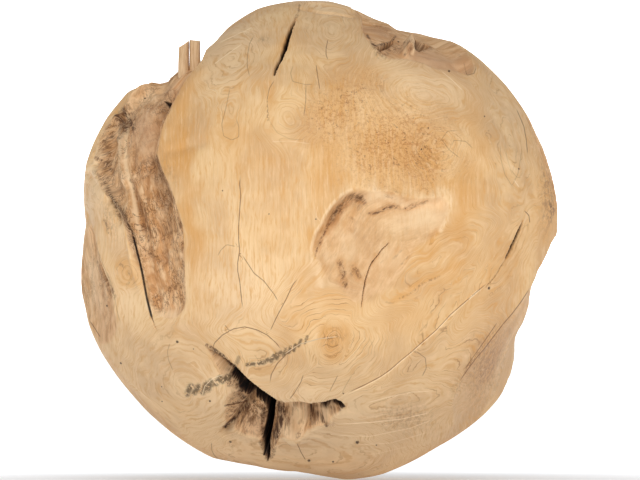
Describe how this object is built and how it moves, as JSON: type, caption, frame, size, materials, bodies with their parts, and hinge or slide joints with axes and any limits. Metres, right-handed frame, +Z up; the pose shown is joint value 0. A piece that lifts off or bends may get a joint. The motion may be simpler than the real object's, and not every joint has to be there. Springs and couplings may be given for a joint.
{
  "type": "wooden ball",
  "caption": "Decorative ball ground from one block of root wood, with its natural rough hollows, drying cracks and knots left in the sanded surface.",
  "frame": {"origin": "centre of the ball", "axes": "+Z up as in the picture, and the side that the picture shows faces -Y"},
  "size_m": [0.2981, 0.3017, 0.298],
  "materials": {
    "root_wood": "sanded smooth and left unvarnished, rough and fibrous in the hollows"
  },
  "bodies": {
    "root": {"ball": "root_wood"}
  },
  "joints": []
}
